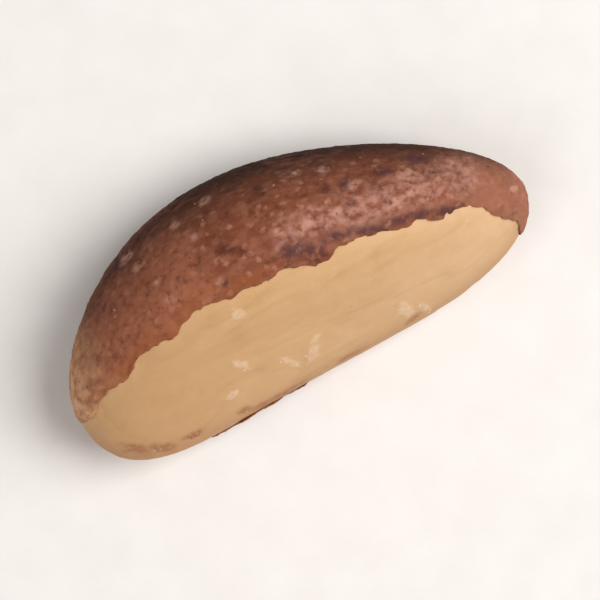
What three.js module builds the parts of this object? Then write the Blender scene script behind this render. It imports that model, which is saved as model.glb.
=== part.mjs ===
// A shelled brazil nut: the cream kernel, lying on one of its two flat flanks, and what is left of its
// thin brown seed coat, which covers the rounded back and one tip and is torn along the cream flank.
//
// Millimetres. X runs along the kernel, the cream flank faces -Y and up, the rounded back faces +Y, and
// Z is up from the flat spot that the kernel rests on.

import * as THREE from 'three';

// Driving dimensions
const LENGTH = 40; // tip to tip, coat included
const TIP_HEIGHT = 5.2; // both tips over the resting surface
const COAT_THICKNESS = 0.25;
const COAT_EDGE_THICKNESS = 0.12; // at its torn edges
const COAT_TAPER = 1.5; // the coat is at its full thickness this far from them
const COAT_GAP = 0.05; // keeps the coat's solid clear of the kernel's
const COAT_STAND = COAT_GAP + COAT_THICKNESS;

// Grid of the surface: stations from tip to tip, and points up the cream flank and round the rest
const STATIONS = 66;
const FLANK_STEPS = 18;
const ROUND_STEPS = 32;
const STEPS = FLANK_STEPS + ROUND_STEPS;

// Each rail is a limit of the kernel's cross-section, in millimetres from the line between the tips. Its
// four values lead a smooth curve from the -X tip to the +X tip, which the arch then draws in at the tips.
const BACK_RAIL = [11.8, 13.9, 11.6, 8.3];
const FRONT_RAIL = [-10.2, -3.1, -5.4, -7.8];
const TOP_RAIL = [7.4, 9.9, 8.2, 6.1];
const BOTTOM_RAIL = [-5.0, -5.9, -5.9, -5.0];

// Where the crest stands between the front (0) and the back (1)
const CREST_SHARE = [0.66, 0.56, 0.52, 0.53];

// Rounded corners of the middle cross-section, as circles that a smooth skin is drawn round
const FLANK_FRONT = -5.2;
const SECTION_WIDTH = 17.8;
const CREST = { z: 11.7, radius: 2.1 };
const INNER_EDGE = { y: -3.5, z: 2.6, radius: 1.7 };
const LOWER_BACK = { y: 8.7, z: 3.7, radius: 3.6 };
const BULGE = { y: 5.7, z: 6.6, radius: 6.6 };
const CORNER_SHARPNESS = 1.3; // per millimetre: higher is nearer to circles joined by straight lines
const OUTLINE_SAMPLES = 360;

// Low, uneven swellings all over the kernel
const LUMP_SIZE = 7.5;
const LUMP_HEIGHT = 0.16;

// Torn edge of the coat on the cream flank, as points of [x, y] seen from above, from the -X tip to the
// +X tip, which the coat covers all round
const COAT_EDGE = [
  [-20, 0.1], [-18.5, 0.4], [-17.5, 0.9], [-16.5, 1.4], [-15.6, 1.8], [-14.5, 1.9], [-13.5, 2.3],
  [-12.5, 2.7], [-11.4, 2.9], [-9.5, 2.8], [-8.8, 3.3], [-7.6, 3.7], [-6.4, 3.7], [-5.5, 3.4],
  [-4.5, 3.3], [-3.5, 3.4], [-1.9, 3.0], [-1.5, 3.3], [0.1, 3.3], [1.3, 3.0], [2.2, 2.6], [3.4, 2.3],
  [4.2, 2.7], [5.1, 2.9], [6.2, 2.7], [7.4, 2.4], [8.9, 2.2], [10.1, 1.6], [11.1, 1.7], [12.2, 1.1],
  [13.1, 0.8], [14.2, 1.0], [15.2, 0.8], [16.1, 0.1], [16.6, -0.8], [17.2, -1.5], [18.2, -2.3],
  [18.8, -2.9], [19.1, -4.4],
];

// Edge of the coat on the resting flank, seen the same way
const UNDER_EDGE = [
  [-20, 1.0], [-17.4, 2.1], [-15, 4.4], [-12.4, 5.0], [-10, 6.9], [-7.6, 6.6], [-5, 8.1], [-2.2, 7.6],
  [0.6, 8.9], [3.1, 7.9], [5.6, 8.2], [8, 6.7], [10.4, 6.3], [13, 4.1], [14.9, 3.7], [16.3, 1.2],
  [17.1, 0.4], [18.2, -4.5],
];

const FLANK_FLOOR = 3.0; // below this height the resting flank's edge holds
const FLANK_TOP = 6.0; // above this height the cream flank's edge holds
const COAT_FOOT = 0.8; // the coat ends this far over the resting surface, and up to a rise higher
const FOOT_RISE = 0.9;
const FOOT_RISE_SIZE = 2.6;

// The scrap of coat left under the straight inner edge
const SCRAP_START = -12.5;
const SCRAP_END = -1.0;
const SCRAP_HALF_WIDTH = 1.4; // in its middle, from where it narrows to both ends
const SCRAP_DROP = 1.2; // its middle line lies this far along the surface below the edge
const SCRAP_RAGGEDNESS = 1.6; // its tears are deeper than the coat's by this factor

// Small tears along every edge: their sizes in millimetres, and how far each moves the edge
const TEARS = [
  { size: 2.1, depth: 0.13 },
  { size: 0.9, depth: 0.12 },
];
const LEAST_CUT = 0.12; // an edge of the grid is cut no nearer to its ends than this share

const KERNEL_COLOUR = 0xdcb583;
const COAT_COLOUR = 0x7d4936;

// A smooth curve through the range 0 to 1, led by its list of values
function railAt(values, share) {
  const rest = 1 - share;
  const weights = [rest ** 3, 3 * share * rest ** 2, 3 * share ** 2 * rest, share ** 3];
  return values.reduce((sum, value, index) => sum + value * weights[index], 0);
}

function smoothStep(low, high, value) {
  const share = Math.min(Math.max((value - low) / (high - low), 0), 1);
  return share * share * (3 - 2 * share);
}

// A fixed random number from 0 to 1 for each corner of a grid of whole numbers
function randomAt(i, j, k) {
  const mixed = Math.sin(i * 12.9898 + j * 78.233 + k * 37.719) * 43758.5453;
  return mixed - Math.floor(mixed);
}

// Smooth noise from -1 to 1, with swellings about one unit across
function noiseAt(x, y, z) {
  const cell = [x, y, z].map(Math.floor);
  const inside = [x - cell[0], y - cell[1], z - cell[2]].map((value) => smoothStep(0, 1, value));
  let sum = 0;
  for (let corner = 0; corner < 8; corner++) {
    const step = [corner & 1, (corner >> 1) & 1, corner >> 2];
    const weight = step.reduce((all, bit, axis) => all * (bit ? inside[axis] : 1 - inside[axis]), 1);
    sum += weight * randomAt(cell[0] + step[0], cell[1] + step[1], cell[2] + step[2]);
  }
  return 2 * sum - 1;
}

// Value of a hand-drawn edge at a place along the kernel
function edgeAt(edge, x) {
  const last = edge.findIndex((point) => point[0] > x);
  if (last === 0) return edge[0][1];
  if (last < 0) return edge[edge.length - 1][1];
  const [x0, y0] = edge[last - 1];
  const [x1, y1] = edge[last];
  return THREE.MathUtils.lerp(y0, y1, (x - x0) / (x1 - x0));
}

// One point of the smooth skin round the circles, where it faces along the given angle
function skinPoint(circles, angle) {
  const facing = new THREE.Vector2(Math.cos(angle), Math.sin(angle));
  const reach = circles.map(([y, z, radius]) => y * facing.x + z * facing.y + radius);
  const furthest = Math.max(...reach);
  const weights = reach.map((value) => Math.exp(CORNER_SHARPNESS * (value - furthest)));
  const total = weights.reduce((sum, weight) => sum + weight, 0);
  const support = furthest + Math.log(total) / CORNER_SHARPNESS;
  const centre = new THREE.Vector2();
  circles.forEach(([y, z], index) => {
    centre.addScaledVector(new THREE.Vector2(y, z), weights[index] / total);
  });
  return centre.addScaledVector(facing, support - centre.dot(facing));
}

// Points evenly along an open line, its first point included and its last left out
function evenPoints(line, count) {
  const lengths = [0];
  line.slice(1).forEach((point, index) => lengths.push(lengths[index] + point.distanceTo(line[index])));
  const points = [];
  let at = 0;
  for (let step = 0; step < count; step++) {
    const wanted = (lengths[lengths.length - 1] * step) / count;
    while (lengths[at + 1] < wanted) at++;
    const share = (wanted - lengths[at]) / (lengths[at + 1] - lengths[at]);
    points.push(line[at].clone().lerp(line[at + 1], share));
  }
  return points;
}

// The cross-section at a share of the length: up the cream flank to the crest, then round the back
function sectionAt(share) {
  const arch = 2 * Math.sqrt(share * (1 - share));
  const circles = [
    [FLANK_FRONT + SECTION_WIDTH * railAt(CREST_SHARE, share), CREST.z, CREST.radius],
    [INNER_EDGE.y, INNER_EDGE.z, INNER_EDGE.radius],
    [LOWER_BACK.y, LOWER_BACK.z, LOWER_BACK.radius],
    [BULGE.y, BULGE.z, BULGE.radius],
  ];
  const back = skinPoint(circles, 0).x;
  const top = skinPoint(circles, Math.PI / 2).y;
  const front = skinPoint(circles, Math.PI).x;
  const bottom = skinPoint(circles, (3 * Math.PI) / 2).y;
  const fitted = (angle) => {
    const point = skinPoint(circles, angle);
    const across = (point.x - front) / (back - front);
    const up = (point.y - bottom) / (top - bottom);
    return new THREE.Vector2(
      arch * THREE.MathUtils.lerp(railAt(FRONT_RAIL, share), railAt(BACK_RAIL, share), across),
      TIP_HEIGHT + arch * THREE.MathUtils.lerp(railAt(BOTTOM_RAIL, share), railAt(TOP_RAIL, share), up),
    );
  };
  const line = (from, to) => {
    const count = Math.round(Math.abs(to - from) * OUTLINE_SAMPLES / (2 * Math.PI));
    return Array.from({ length: count + 1 }, (_, step) => fitted(from + ((to - from) * step) / count));
  };
  const flank = evenPoints(line(Math.PI, Math.PI / 2), FLANK_STEPS);
  const round = evenPoints(line(Math.PI / 2, -Math.PI), ROUND_STEPS);
  return [...flank, ...round];
}

// Normals of a closed grid of triangles, one for each point
function normalsOf(points, triangles) {
  const geometry = new THREE.BufferGeometry().setFromPoints(points);
  geometry.setIndex(triangles.flat());
  geometry.computeVertexNormals();
  const normals = geometry.getAttribute('normal');
  return points.map((_, index) => new THREE.Vector3().fromBufferAttribute(normals, index));
}

// The kernel's whole surface: points, their normals, and triangles that face outwards
function kernelSurface() {
  const length = LENGTH - 1.5 * COAT_STAND;
  const points = [new THREE.Vector3(-length / 2, 0, TIP_HEIGHT)];
  for (let station = 1; station < STATIONS; station++) {
    const share = (1 - Math.cos((Math.PI * station) / STATIONS)) / 2;
    const x = length * (share - 0.5);
    sectionAt(share).forEach((point) => points.push(new THREE.Vector3(x, point.x, point.y)));
  }
  points.push(new THREE.Vector3(length / 2, 0, TIP_HEIGHT));
  const last = points.length - 1;

  const at = (station, step) => 1 + (station - 1) * STEPS + (step % STEPS);
  const triangles = [];
  for (let step = 0; step < STEPS; step++) {
    triangles.push([0, at(1, step), at(1, step + 1)]);
    triangles.push([last, at(STATIONS - 1, step + 1), at(STATIONS - 1, step)]);
    for (let station = 1; station < STATIONS - 1; station++) {
      const [low, high] = [at(station, step), at(station + 1, step + 1)];
      triangles.push([low, at(station + 1, step), high], [low, high, at(station, step + 1)]);
    }
  }

  const smooth = normalsOf(points, triangles);
  points.forEach((point, index) => {
    const lump = LUMP_HEIGHT * noiseAt(point.x / LUMP_SIZE, point.y / LUMP_SIZE, point.z / LUMP_SIZE);
    point.addScaledVector(smooth[index], lump);
  });
  return { points, triangles, normals: normalsOf(points, triangles) };
}

// Depth of the tears at a place on the surface
function tearAt(point) {
  return TEARS.reduce((sum, { size, depth }) => {
    const wave = noiseAt(point.x / size, point.y / size, point.z / size + 9);
    return sum + depth * (2 * smoothStep(-0.35, 0.35, wave) - 1);
  }, 0);
}

// How far a point lies above the coat's uneven foot
function overFoot(point) {
  const [x, y] = [point.x, point.y].map((value) => value / FOOT_RISE_SIZE);
  return point.z - COAT_FOOT - (FOOT_RISE * (1 + noiseAt(x, y, 0))) / 2;
}

// How far inside the coat a point of the kernel lies: positive where the coat is left
function coatLeft(point) {
  const upper = smoothStep(FLANK_FLOOR, FLANK_TOP, point.z);
  const edge = THREE.MathUtils.lerp(edgeAt(UNDER_EDGE, point.x), edgeAt(COAT_EDGE, point.x), upper);
  return Math.min(point.y - edge + tearAt(point), overFoot(point));
}

// The same for the scrap under the inner edge, from the distance below that edge
function scrapLeft(point, below) {
  const share = THREE.MathUtils.clamp((point.x - SCRAP_START) / (SCRAP_END - SCRAP_START), 0, 1);
  const halfWidth = SCRAP_HALF_WIDTH * 2 * Math.sqrt(share * (1 - share));
  const across = halfWidth - Math.abs(below - SCRAP_DROP);
  return Math.min(across + SCRAP_RAGGEDNESS * tearAt(point), overFoot(point));
}

// The part of the surface where the values are positive, as triangles of cut points
function cutSurface(surface, values) {
  const safe = values.map((value) => (Math.abs(value) < 1e-3 ? 1e-3 : value));
  const points = [];
  const numbers = new Map();
  const numberOf = (key, make) => {
    if (!numbers.has(key)) {
      numbers.set(key, points.length);
      points.push(make());
    }
    return numbers.get(key);
  };
  const whole = (a) => numberOf(`${a}`, () => (
    { point: surface.points[a], normal: surface.normals[a], inside: safe[a] }
  ));
  const cut = (a, b) => {
    const [low, high] = a < b ? [a, b] : [b, a];
    return numberOf(`${low}/${high}`, () => {
      const share = THREE.MathUtils.clamp(safe[low] / (safe[low] - safe[high]), LEAST_CUT, 1 - LEAST_CUT);
      return {
        point: surface.points[low].clone().lerp(surface.points[high], share),
        normal: surface.normals[low].clone().lerp(surface.normals[high], share).normalize(),
        inside: 0,
      };
    });
  };
  const triangles = [];
  surface.triangles.forEach((corners) => {
    const ring = [];
    corners.forEach((a, index) => {
      const b = corners[(index + 1) % 3];
      if (safe[a] > 0) ring.push(whole(a));
      if (safe[a] > 0 !== safe[b] > 0) ring.push(cut(a, b));
    });
    for (let corner = 1; corner < ring.length - 1; corner++) {
      triangles.push([ring[0], ring[corner], ring[corner + 1]]);
    }
  });
  return { points, triangles };
}

// The largest set of triangles that hang together
function largestPiece(triangles) {
  const owner = new Map();
  const rootOf = (point) => {
    while (owner.get(point) !== undefined && owner.get(point) !== point) point = owner.get(point);
    return point;
  };
  triangles.forEach(([a, b, c]) => {
    owner.set(rootOf(a), rootOf(b));
    owner.set(rootOf(b), rootOf(c));
  });
  const sizes = new Map();
  triangles.forEach(([a]) => sizes.set(rootOf(a), (sizes.get(rootOf(a)) ?? 0) + 1));
  const [largest] = [...sizes].sort((one, other) => other[1] - one[1])[0];
  return triangles.filter(([a]) => rootOf(a) === largest);
}

// A thin closed shell that stands on the surface where the values are positive
function coatGeometry(surface, values) {
  const { points, triangles } = cutSurface(surface, values);
  const kept = largestPiece(triangles);
  const used = [...new Set(kept.flat())];
  const number = new Map(used.map((point, index) => [point, index]));
  const innerPoints = used.map((index) => {
    const { point, normal } = points[index];
    return point.clone().addScaledVector(normal, COAT_GAP);
  });
  const outerPoints = used.map((index) => {
    const { point, normal, inside } = points[index];
    const full = smoothStep(0, COAT_TAPER, inside);
    const thickness = THREE.MathUtils.lerp(COAT_EDGE_THICKNESS, COAT_THICKNESS, full);
    return point.clone().addScaledVector(normal, COAT_GAP + thickness);
  });
  const outer = kept.map((corners) => corners.map((point) => number.get(point)));
  const inner = outer.map(([a, b, c]) => [a, c, b].map((point) => point + used.length));
  const sides = new Set();
  outer.forEach((corners) => corners.forEach((a, index) => sides.add(`${a}/${corners[(index + 1) % 3]}`)));
  const walls = [];
  outer.forEach((corners) => corners.forEach((a, index) => {
    const b = corners[(index + 1) % 3];
    if (sides.has(`${b}/${a}`)) return;
    walls.push([b, a, a + used.length], [b, a + used.length, b + used.length]);
  }));
  const geometry = new THREE.BufferGeometry().setFromPoints([...outerPoints, ...innerPoints]);
  geometry.setIndex([...outer, ...inner, ...walls].flat());
  geometry.computeVertexNormals();
  return geometry;
}

// The kernel's solid, cut flat where it rests
function kernelGeometry(surface) {
  const points = surface.points.map((point) => new THREE.Vector3(point.x, point.y, Math.max(point.z, 0)));
  const geometry = new THREE.BufferGeometry().setFromPoints(points);
  geometry.setIndex(surface.triangles.flat());
  geometry.computeVertexNormals();
  return geometry;
}

// Distance along the surface from the inner edge, positive below it, for each point of the surface
function distancesBelowEdge(surface) {
  return surface.points.map((point, index) => {
    if (index === 0 || index === surface.points.length - 1) return LENGTH;
    const step = (index - 1) % STEPS;
    const edge = surface.points[index - step];
    const side = step > STEPS / 2 ? 1 : -1;
    return side * edge.distanceTo(point);
  });
}

function named(name, geometry, material) {
  const mesh = new THREE.Mesh(geometry, material);
  mesh.name = name;
  return mesh;
}

const surface = kernelSurface();
const below = distancesBelowEdge(surface);
const kernelFinish = new THREE.MeshStandardMaterial({ color: KERNEL_COLOUR, roughness: 0.55 });
const coatFinish = new THREE.MeshStandardMaterial({ color: COAT_COLOUR, roughness: 0.6 });

const brazilNut = new THREE.Group();
brazilNut.add(named('kernel', kernelGeometry(surface), kernelFinish));
brazilNut.add(named('coat_back', coatGeometry(surface, surface.points.map(coatLeft)), coatFinish));
const scrapValues = surface.points.map((point, index) => scrapLeft(point, below[index]));
brazilNut.add(named('coat_scrap', coatGeometry(surface, scrapValues), coatFinish));

// The origin is under the middle of the whole part
const box = new THREE.Box3().setFromObject(brazilNut);
const middle = box.getCenter(new THREE.Vector3());
brazilNut.position.set(-middle.x, -middle.y, -box.min.z);

export default brazilNut;
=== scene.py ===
# %% [markdown]
# A shelled brazil nut
#
# The nut in the photograph has lost its shell. What is left is a cream kernel with three sides, and a
# thin brown seed coat that still clings to its rounded back and to one tip. The script dresses the plain
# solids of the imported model: it makes a finer kernel, a finer torn coat, the small scales and crumbs
# that lie on them, and the finish of each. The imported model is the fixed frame, so everything is
# measured from its boxes.

# %% Load the fixed frame
import math

import bpy
import numpy as np
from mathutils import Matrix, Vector
from mathutils.bvhtree import BVHTree


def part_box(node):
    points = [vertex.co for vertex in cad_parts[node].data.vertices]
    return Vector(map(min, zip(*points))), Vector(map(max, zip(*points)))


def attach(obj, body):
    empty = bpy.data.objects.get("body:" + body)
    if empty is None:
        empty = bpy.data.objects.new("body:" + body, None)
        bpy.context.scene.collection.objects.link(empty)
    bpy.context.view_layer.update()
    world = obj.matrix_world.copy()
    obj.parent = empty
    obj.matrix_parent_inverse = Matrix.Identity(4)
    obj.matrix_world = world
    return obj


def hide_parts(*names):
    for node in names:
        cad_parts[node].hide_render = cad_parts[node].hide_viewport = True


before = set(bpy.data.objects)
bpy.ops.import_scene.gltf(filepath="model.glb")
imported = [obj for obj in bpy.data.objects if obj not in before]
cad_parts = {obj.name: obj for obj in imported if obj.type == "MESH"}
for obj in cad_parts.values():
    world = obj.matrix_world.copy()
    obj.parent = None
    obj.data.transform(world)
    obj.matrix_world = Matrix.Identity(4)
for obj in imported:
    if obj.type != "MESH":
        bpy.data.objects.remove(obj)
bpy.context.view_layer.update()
MM = 0.001
print("packed nodes:", sorted(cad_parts))

# %% [markdown]
# The rule behind the kernel
#
# A brazil nut kernel is a wedge, like the segment of an orange: two nearly flat flanks meet in a
# straight inner edge, and the third side is a rounded back. Sculpting it by hand would work, but a rule
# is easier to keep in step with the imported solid. Each cross-section is a smooth skin drawn round four
# circles, one in each corner and one that swells the back. It is then stretched between four rails that
# run from tip to tip, and an arch draws the rails together at both tips.

# %% Rails and rounded corners, in millimetres
LENGTH = 40.0
COAT_STAND = 0.3
TIP_HEIGHT = 5.2
BODY_LENGTH = LENGTH - 1.5 * COAT_STAND

# Four values lead each rail from the blunt tip to the other one.
BACK_RAIL = (11.8, 13.9, 11.6, 8.3)
FRONT_RAIL = (-10.2, -3.1, -5.4, -7.8)
TOP_RAIL = (7.4, 9.9, 8.2, 6.1)
BOTTOM_RAIL = (-5.0, -5.9, -5.9, -5.0)
CREST_SHARE = (0.66, 0.56, 0.52, 0.53)

# A circle is its place across, its height and its radius. The crest's place across follows a rail.
FLANK_FRONT = -5.2
SECTION_WIDTH = 17.8
CREST = (11.7, 2.1)
OTHER_CORNERS = ((-3.5, 2.6, 1.7), (8.7, 3.7, 3.6), (5.7, 6.6, 6.6))
CORNER_SHARPNESS = 1.3


def rail_at(values, share):
    """A smooth curve over the range 0 to 1, led by four values."""
    rest = 1 - share
    weights = (rest**3, 3 * share * rest**2, 3 * share**2 * rest, share**3)
    return sum(value * weight for value, weight in zip(values, weights))


def skin_points(circles, angles):
    """The smooth skin round the circles, at the places where it faces along the angles."""
    facing = np.stack([np.cos(angles), np.sin(angles)], axis=-1)
    reach = facing @ circles[:, :2].T + circles[:, 2]
    furthest = reach.max(axis=1, keepdims=True)
    weights = np.exp(CORNER_SHARPNESS * (reach - furthest))
    total = weights.sum(axis=1, keepdims=True)
    support = furthest + np.log(total) / CORNER_SHARPNESS
    centre = (weights / total) @ circles[:, :2]
    return centre + facing * (support - (centre * facing).sum(axis=1, keepdims=True))


print("middle of the rails, mm:", [round(rail_at(r, 0.5), 2) for r in (FRONT_RAIL, BACK_RAIL, TOP_RAIL)])

# %% [markdown]
# From the rule to a grid of points
#
# The grid runs from tip to tip. In each cross-section the points go up the cream flank to the crest, and
# then round the back and under the kernel. They are spaced evenly, because fine relief needs cells of
# one size, and the stations crowd together at the tips, where the surface turns fastest.

# %% One cross-section
STATIONS = 300
FLANK_STEPS = 96
ROUND_STEPS = 164
STEPS = FLANK_STEPS + ROUND_STEPS
OUTLINE_SAMPLES = 720
QUARTER_TURNS = np.array([0, 0.5, 1, 1.5]) * math.pi


def even_points(line, count):
    """Points evenly along an open line, its first one included and its last one left out."""
    lengths = np.concatenate([[0], np.cumsum(np.linalg.norm(np.diff(line, axis=0), axis=1))])
    wanted = lengths[-1] * np.arange(count) / count
    return np.stack([np.interp(wanted, lengths, line[:, axis]) for axis in (0, 1)], axis=-1)


def section_at(share):
    """The cross-section at a share of the length, as rows of y and z."""
    arch = 2 * math.sqrt(share * (1 - share))
    crest_y = FLANK_FRONT + SECTION_WIDTH * rail_at(CREST_SHARE, share)
    circles = np.array([(crest_y, *CREST), *OTHER_CORNERS])
    ends = skin_points(circles, QUARTER_TURNS)
    back, top, front, bottom = ends[0, 0], ends[1, 1], ends[2, 0], ends[3, 1]
    y_rails = [arch * rail_at(rail, share) for rail in (FRONT_RAIL, BACK_RAIL)]
    z_rails = [TIP_HEIGHT + arch * rail_at(rail, share) for rail in (BOTTOM_RAIL, TOP_RAIL)]

    def line(start, end):
        count = round(abs(end - start) * OUTLINE_SAMPLES / (2 * math.pi))
        points = skin_points(circles, np.linspace(start, end, count + 1))
        y = np.interp(points[:, 0], (front, back), y_rails)
        z = np.interp(points[:, 1], (bottom, top), z_rails)
        return np.stack([y, z], axis=-1)

    flank = even_points(line(math.pi, math.pi / 2), FLANK_STEPS)
    return np.concatenate([flank, even_points(line(math.pi / 2, -math.pi), ROUND_STEPS)])


middle = section_at(0.5)
print("middle section:", len(middle), "points, mm:", (middle.max(axis=0) - middle.min(axis=0)).round(2))

# %% [markdown]
# From sections to a closed surface
#
# Each tip is a single point, so the surface closes there with a fan of triangles. Between two sections
# every cell is split into two. Their corners go round in one direction as seen from outside, because
# that order decides which way a face points. The normals are needed for all that rises from the surface.


# %% The grid, its triangles and its normals
def grid_points():
    """The kernel's points in millimetres: one tip, the cross-sections, the other tip."""
    rows = [np.array([[-BODY_LENGTH / 2, 0, TIP_HEIGHT]])]
    for station in range(1, STATIONS):
        share = (1 - math.cos(math.pi * station / STATIONS)) / 2
        x = np.full((STEPS, 1), BODY_LENGTH * (share - 0.5))
        rows.append(np.concatenate([x, section_at(share)], axis=1))
    rows.append(np.array([[BODY_LENGTH / 2, 0, TIP_HEIGHT]]))
    return np.concatenate(rows)


def grid_triangles():
    """Triangles over the grid that face outwards."""
    step = np.arange(STEPS)
    after = (step + 1) % STEPS
    first = np.stack([0 * step, 1 + step, 1 + after], axis=-1)
    row = 1 + np.arange(STATIONS - 2)[:, None] * STEPS
    near, near_after = row + step, row + after
    far, far_after = near + STEPS, near_after + STEPS
    one = np.stack([near, far, far_after], axis=-1).reshape(-1, 3)
    other = np.stack([near, far_after, near_after], axis=-1).reshape(-1, 3)
    end = 1 + (STATIONS - 1) * STEPS
    last = np.stack([0 * step + end, end - STEPS + after, end - STEPS + step], axis=-1)
    return np.concatenate([first, one, other, last])


def normals_of(points, triangles):
    """The outward normal at each point, averaged over the triangles round it."""
    a, b, c = (points[triangles[:, corner]] for corner in range(3))
    faces = np.cross(b - a, c - a)
    normals = np.zeros_like(points)
    for corner in range(3):
        np.add.at(normals, triangles[:, corner], faces)
    return normals / np.linalg.norm(normals, axis=1, keepdims=True)


points = grid_points()
triangles = grid_triangles()
print("fine grid:", len(points), "points,", len(triangles), "triangles")

# %% [markdown]
# Natural unevenness
#
# No grown thing is exactly smooth. A fixed random value at each corner of a lattice, blended smoothly
# between the corners, gives low swellings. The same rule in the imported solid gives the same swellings,
# so the fine kernel still lies on it.

# %% Smooth noise
HASH_WAVES = (12.9898, 78.233, 37.719)
HASH_SCALE = 43758.5453


def smooth_step(low, high, value):
    """A smooth rise from 0 at the low value to 1 at the high one."""
    share = np.clip((value - low) / (high - low), 0, 1)
    return share * share * (3 - 2 * share)


def noise_at(places):
    """Smooth noise from -1 to 1, with swellings about one unit across."""
    cells = np.floor(places)
    inside = smooth_step(0, 1, places - cells)
    total = np.zeros(len(places))
    for corner in range(8):
        bits = np.array([corner & 1, corner >> 1 & 1, corner >> 2])
        i, j, k = (cells + bits).T
        mixed = np.sin(i * HASH_WAVES[0] + j * HASH_WAVES[1] + k * HASH_WAVES[2]) * HASH_SCALE
        weight = np.prod(np.where(bits, inside, 1 - inside), axis=1)
        total += weight * (mixed - np.floor(mixed))
    return 2 * total - 1


print("noise at one place:", noise_at(np.array([[0.5, 0.5, 0.5]])).round(3))

# %% [markdown]
# Swellings on the kernel
#
# Each point moves along its normal by the noise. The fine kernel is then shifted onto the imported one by
# the middles of their boxes, and the gap between the two is measured at many points. Points under the
# floor are left out, because the flat spot takes their place. A large gap would mean that the two rules
# differ.

# %% Swellings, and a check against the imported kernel
LUMP_SIZE = 7.5
LUMP_HEIGHT = 0.16
CHECK_EVERY = 97
points += normals_of(points, triangles) * (LUMP_HEIGHT * noise_at(points / LUMP_SIZE))[:, None]
normals = normals_of(points, triangles)

resting = points[:, 2] < 0
cad_low, cad_high = (np.array(corner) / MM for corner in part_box("kernel"))
fine_low, fine_high = points.min(axis=0), points.max(axis=0)
shift = (cad_low + cad_high - fine_low - fine_high) / 2
shift[2] = 0


def placed(places):
    """Millimetres on the rule's own axes, as metres in the frame."""
    return (places + shift) * MM


cad_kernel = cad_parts["kernel"]
cad_tree = BVHTree.FromPolygons(
    [v.co for v in cad_kernel.data.vertices], [tuple(p.vertices) for p in cad_kernel.data.polygons]
)
gaps = [cad_tree.find_nearest(Vector(p))[3] for p in placed(points[~resting][::CHECK_EVERY])]
print("shift to the packed kernel, mm:", shift.round(3), "largest gap, mm:", round(max(gaps) / MM, 3))

# %% [markdown]
# Where the coat is left
#
# The coat has peeled off the flank that looks up, and its torn edge runs just in front of the crest. The
# edge is drawn from the photograph as a line seen from above, then broken up by small tears. Each point
# of the grid gets its distance inside that edge: positive where the coat is left. The scrap under the
# inner edge is measured from that edge instead.

# %% The torn edges and the scrap, in millimetres
COAT_EDGE = np.array([
    (-20, 0.1), (-18.5, 0.4), (-17.5, 0.9), (-16.5, 1.4), (-15.6, 1.8), (-14.5, 1.9), (-13.5, 2.3),
    (-12.5, 2.7), (-11.4, 2.9), (-9.5, 2.8), (-8.8, 3.3), (-7.6, 3.7), (-6.4, 3.7), (-5.5, 3.4),
    (-4.5, 3.3), (-3.5, 3.4), (-1.9, 3.0), (-1.5, 3.3), (0.1, 3.3), (1.3, 3.0), (2.2, 2.6), (3.4, 2.3),
    (4.2, 2.7), (5.1, 2.9), (6.2, 2.7), (7.4, 2.4), (8.9, 2.2), (10.1, 1.6), (11.1, 1.7), (12.2, 1.1),
    (13.1, 0.8), (14.2, 1.0), (15.2, 0.8), (16.1, 0.1), (16.6, -0.8), (17.2, -1.5), (18.2, -2.3),
    (18.8, -2.9), (19.1, -4.4),
])
UNDER_EDGE = np.array([
    (-20, 1.0), (-17.4, 2.1), (-15, 4.4), (-12.4, 5.0), (-10, 6.9), (-7.6, 6.6), (-5, 8.1), (-2.2, 7.6),
    (0.6, 8.9), (3.1, 7.9), (5.6, 8.2), (8, 6.7), (10.4, 6.3), (13, 4.1), (14.9, 3.7), (16.3, 1.2),
    (17.1, 0.4), (18.2, -4.5),
])
FLANK_FLOOR = 3.0
FLANK_TOP = 6.0
COAT_FOOT = 0.8
FOOT_RISE = 0.9
FOOT_RISE_SIZE = 2.6

# Each kind of tear is its size and its depth.
TEARS = ((2.1, 0.09), (0.9, 0.09), (0.4, 0.07))
TEAR_SHIFT = (0, 0, 9)
TEAR_STEP = 0.35

SCRAP_START = -12.5
SCRAP_END = -1.0
SCRAP_HALF_WIDTH = 1.4
SCRAP_DROP = 1.4
SCRAP_RAGGEDNESS = 1.6
print("the torn edge has", len(COAT_EDGE), "points, and its hidden side", len(UNDER_EDGE))

# %% [markdown]
# Distances instead of yes or no
#
# A distance says more than whether the coat is there. It is zero along the edge, and the first
# millimetre inside can be thinned, lifted or coloured. High on the kernel the edge seen from above
# holds, low down the hidden one does, and in between one passes smoothly into the other. Near the floor
# the coat ends at an uneven foot.


# %% Distances inside the torn edges
def tears_at(places):
    """How far the small tears move an edge."""
    total = np.zeros(len(places))
    for size, depth in TEARS:
        wave = noise_at(places / size + TEAR_SHIFT)
        total += depth * (2 * smooth_step(-TEAR_STEP, TEAR_STEP, wave) - 1)
    return total


def over_foot(places):
    """How far each place lies above the coat's uneven foot."""
    rise = noise_at(places * (1, 1, 0) / FOOT_RISE_SIZE)
    return places[:, 2] - COAT_FOOT - FOOT_RISE * (1 + rise) / 2


def coat_left(places):
    """How far each place lies inside the edge of the coat on the back."""
    upper = smooth_step(FLANK_FLOOR, FLANK_TOP, places[:, 2])
    over, under = (np.interp(places[:, 0], *edge.T) for edge in (COAT_EDGE, UNDER_EDGE))
    inside = places[:, 1] - (under + (over - under) * upper) + tears_at(places)
    return np.minimum(inside, over_foot(places))


def below_inner_edge(places):
    """Distance from the inner edge within each cross-section, positive below it."""
    sections = places[1:-1].reshape(-1, STEPS, 3)
    distance = np.linalg.norm(sections - sections[:, :1], axis=2)
    side = np.where(np.arange(STEPS) > STEPS / 2, 1, -1)
    return np.concatenate([[LENGTH], (side * distance).ravel(), [LENGTH]])


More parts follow.
